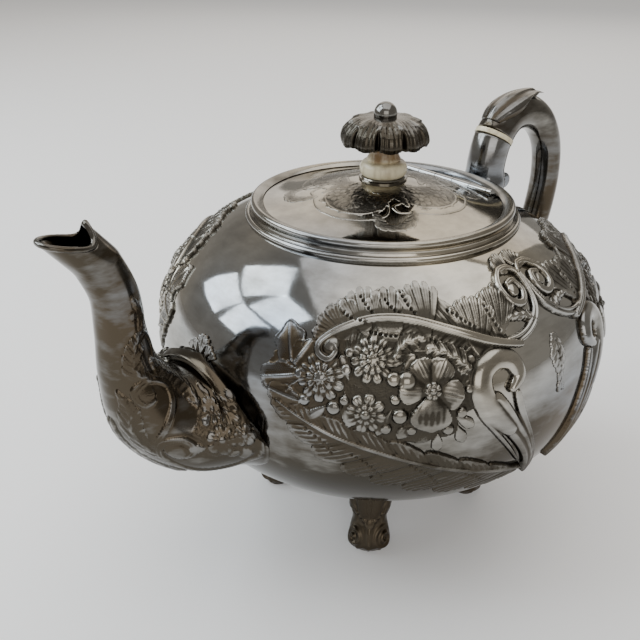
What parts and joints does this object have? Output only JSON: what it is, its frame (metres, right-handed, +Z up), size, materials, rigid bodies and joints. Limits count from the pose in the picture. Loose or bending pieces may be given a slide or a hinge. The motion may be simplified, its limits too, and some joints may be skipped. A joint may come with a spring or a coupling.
{
  "type": "teapot",
  "caption": "Low-bellied silver teapot with a swan-neck spout, hinged flush lid, flower finial on a bone insulator, insulated C-scroll handle and scroll feet.",
  "frame": {"origin": "the pot's axis, at the height of the table that the feet stand on", "axes": "+Z up, +X towards the handle, -X towards the spout"},
  "size_m": [0.2297, 0.16, 0.1565],
  "materials": {
    "polished_silver": "raised sheet silver, polished, with grey-brown tarnish",
    "cast_silver": "cast and chased silver, dark in the recesses",
    "dark_silver": "drawn silver tube, wire and sheet, dulled",
    "bone": "turned cream bone with fine darker grain"
  },
  "bodies": {
    "pot": {"body": "polished_silver", "collar": "polished_silver", "lid_seat": "dark_silver", "rear_plate": "polished_silver", "pot_knuckles": "dark_silver", "hinge_pin": "dark_silver", "spout": "polished_silver", "foot_front_left": "cast_silver", "foot_front_right": "cast_silver", "foot_rear_left": "cast_silver", "foot_rear_right": "cast_silver", "upper_socket": "polished_silver", "upper_insulator": "bone", "upper_pins": "dark_silver", "handle_loop": "polished_silver", "thumb_leaf": "cast_silver", "lower_insulator": "bone", "lower_pins": "dark_silver", "lower_socket": "polished_silver"},
    "lid": {"lid": "polished_silver", "lid_bezel": "dark_silver", "lid_knuckles": "dark_silver", "finial_ferrule": "dark_silver", "finial_spool": "bone", "finial_flower": "cast_silver", "finial_stud": "dark_silver", "ball_nut": "cast_silver", "finial_washer": "dark_silver", "finial_nut": "dark_silver"}
  },
  "joints": [
    {"name": "lid_hinge", "type": "hinge", "parent": "pot", "child": "lid", "pos_m": [0.033, 0, 0.1229], "axis": [0, 1, 0], "range_deg": [0, 82]}
  ]
}
